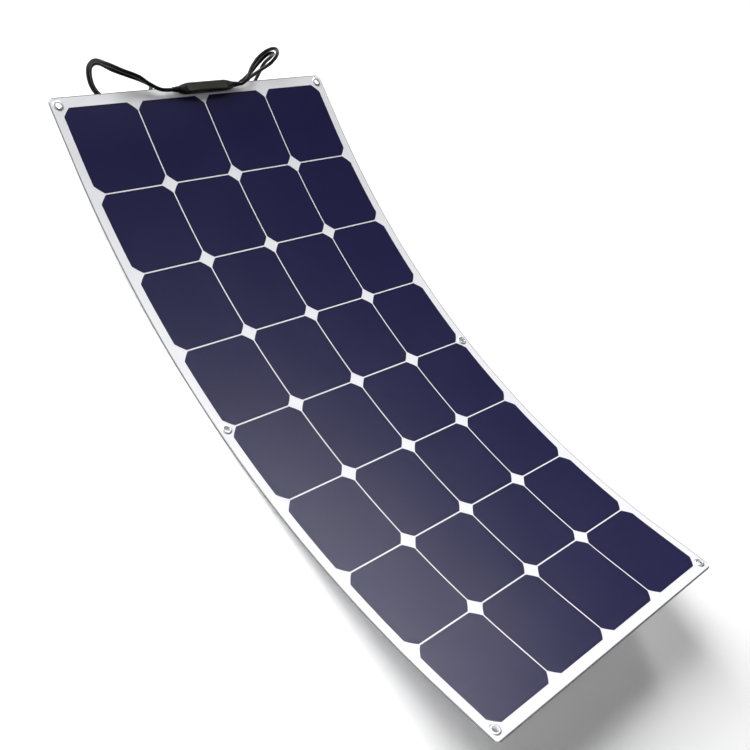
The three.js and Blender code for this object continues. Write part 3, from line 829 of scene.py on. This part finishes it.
def make_base():
    """The box's housing, hollow under its lid, with fine ribs across its tapered ends."""
    bm = bmesh.new()
    levels = [
        (0.5, 4.3, 0), (0.15, 4.55, 0), (0.0, 5.0, 0), (0.0, 9.0, 0), (0.02, 10.2, 0.25), (0.05, 11.1, 0.7),
        (0.1, 11.7, 1.15), (0.2, 12.0, 1.6),
    ]
    rings = [box_ring(inset * MM, height * MM, slant * MM) for inset, height, slant in levels]
    rings += [box_ring(0, height * MM, 0, CAVITY) for height in (12.0, 11.8, 5.9)]
    ring_strip(bm, rings)
    for sign in (-1, 1):
        for rib in range(BASE_RIBS):
            x = sign * (BOX_STRAIGHT + 4.2 * MM + BASE_RIB_PITCH * rib)
            reach = (6.3 - 0.8 * rib) * MM
            low = (x - 0.6 * MM, -reach, 11.6 * MM)
            box_into(bm, low, (x + 0.6 * MM, reach, 12.5 * MM), BOX_MATRIX, 0.25 * MM)
    base = new_object("junction_box_base", bm, "box")
    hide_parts("box_base")
    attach(base, "row_1")


def lid_ring(inset, height, fall):
    """The lid's rounded outline at one height, falling a little towards its ends."""
    half_x = LID_LENGTH / 2 - inset
    half_y = LID_WIDTH / 2 - inset
    corner = LID_CORNER - inset
    x = half_x - corner
    y = half_y - corner
    across = [x - 2 * x * step / 14 for step in range(1, 14)]
    ring = arc_points((x, y), corner, 0, 90, 6) + [(step, half_y) for step in across]
    ring += arc_points((-x, y), corner, 90, 180, 6) + arc_points((-x, -y), corner, 180, 270, 6)
    ring += [(-step, -half_y) for step in across] + arc_points((x, -y), corner, 270, 360, 6)
    return [BOX_MATRIX @ Vector((px, py, height - fall * (px / half_x) ** 2)) for px, py in ring]


def make_lid():
    """A lid with a rounded rim and a shallow sunk panel."""
    bm = bmesh.new()
    levels = [
        (0.1, 12.3, 0), (0.0, 12.45, 0), (0.0, 13.0, 0.1), (0.2, 13.5, 0.3), (0.7, 13.95, 0.6),
        (1.4, 14.2, 0.8), (2.2, 14.3, 0.9), (2.4, 14.15, 0.9), (2.9, 14.15, 0.9),
    ]
    ring_strip(bm, [lid_ring(inset * MM, height * MM, fall * MM) for inset, height, fall in levels])
    lid = new_object("junction_box_lid", bm, "lid")
    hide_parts("box_lid")
    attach(lid, "row_1")


def make_relief(side, sign):
    """A ribbed rubber cone that stops the lead from kinking where it leaves the box."""
    turn = BOX_MATRIX @ Matrix.Translation((0, 0, LEAD_HEIGHT)) @ Matrix.Rotation(sign * math.pi / 2, 4, "Y")
    root = RELIEF_ROOT / MM
    ribs_from = RELIEF_RIBS_FROM / MM
    tip = RELIEF_TIP / MM
    pitch = RELIEF_RIB_PITCH / MM
    profile = [
        (0.05, root), (3.0, root), (3.0, ribs_from - 0.6), (3.9, ribs_from - 0.3), (4.6, ribs_from),
    ]
    for rib in range(RELIEF_RIBS):
        start = ribs_from + rib * pitch
        radius = 4.75 - 0.24 * rib
        profile += [
            (radius, start), (radius + 0.05, start + 0.7), (radius - 0.15, start + 1.3),
            (radius - 0.95, start + 1.5), (radius - 1.0, start + 2.1),
        ]
    profile += [(3.7, tip - 0.7), (3.6, tip - 0.2), (3.35, tip), (0.05, tip)]
    bm = bmesh.new()
    revolved(bm, [(r * MM, z * MM) for r, z in profile], 36, turn)
    relief = new_object(f"strain_relief_{side}_boot", bm, "relief")
    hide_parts(f"strain_relief_{side}")
    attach(relief, "row_1")


make_base()
make_lid()
make_relief("left", -1)
make_relief("right", 1)

# ---------------------------------------------------------------- CAD pieces that stay

for name, material in (
    ("box_seal", "seal"), ("bypass_diode_left", "diode"), ("bypass_diode_right", "diode"),
    ("terminal_left", "terminal"), ("terminal_right", "terminal"),
):
    carried = frame["nodes"][name]
    carried.data.materials.clear()
    carried.data.materials.append(MATERIALS[material])

# ---------------------------------------------------------------- floor and light


def make_floor():
    material, tree, shader = new_material("pale_floor")
    shade = noise(tree, place_of(tree, False), 1.5, 2.0)
    tree.links.new(mix(tree, shade, (0.93, 0.93, 0.93), (0.95, 0.95, 0.95)), shader.inputs["Base Color"])
    settings(shader, Roughness=0.8)
    bm = bmesh.new()
    size = 9.0
    corners = [(-size, -size, 0), (size, -size, 0), (size, size, 0), (-size, size, 0)]
    bm.faces.new([bm.verts.new(corner) for corner in corners])
    mesh = bpy.data.meshes.new("floor")
    bm.to_mesh(mesh)
    bm.free()
    mesh.materials.append(material)
    floor = bpy.data.objects.new("floor", mesh)
    bpy.context.scene.collection.objects.link(floor)


def make_light(name, place, size, power):
    """A square soft light, turned to face the origin, which lies near the sheet's middle."""
    data = bpy.data.lights.new(name, "AREA")
    data.shape = "SQUARE"
    data.size = size
    data.energy = power
    light = bpy.data.objects.new(name, data)
    bpy.context.scene.collection.objects.link(light)
    light.location = place
    light.rotation_mode = "QUATERNION"
    light.rotation_quaternion = (-Vector(place)).to_track_quat("-Z", "Y")


def make_world():
    world = bpy.data.worlds.new("studio")
    bpy.context.scene.world = world
    world.use_nodes = True
    background = world.node_tree.nodes["Background"]
    background.inputs["Color"].default_value = (1.0, 1.0, 1.0, 1)
    background.inputs["Strength"].default_value = 0.10


make_floor()
make_world()
make_light("key", (-2.5, 4.9, 4.2), 4.4, 790)
make_light("glare", (4.46, 3.88, 5.40), 1.8, 168)
make_light("fill", (-4.4, -1.6, 5.6), 5.0, 110)
bpy.context.scene.view_settings.view_transform = "Standard"
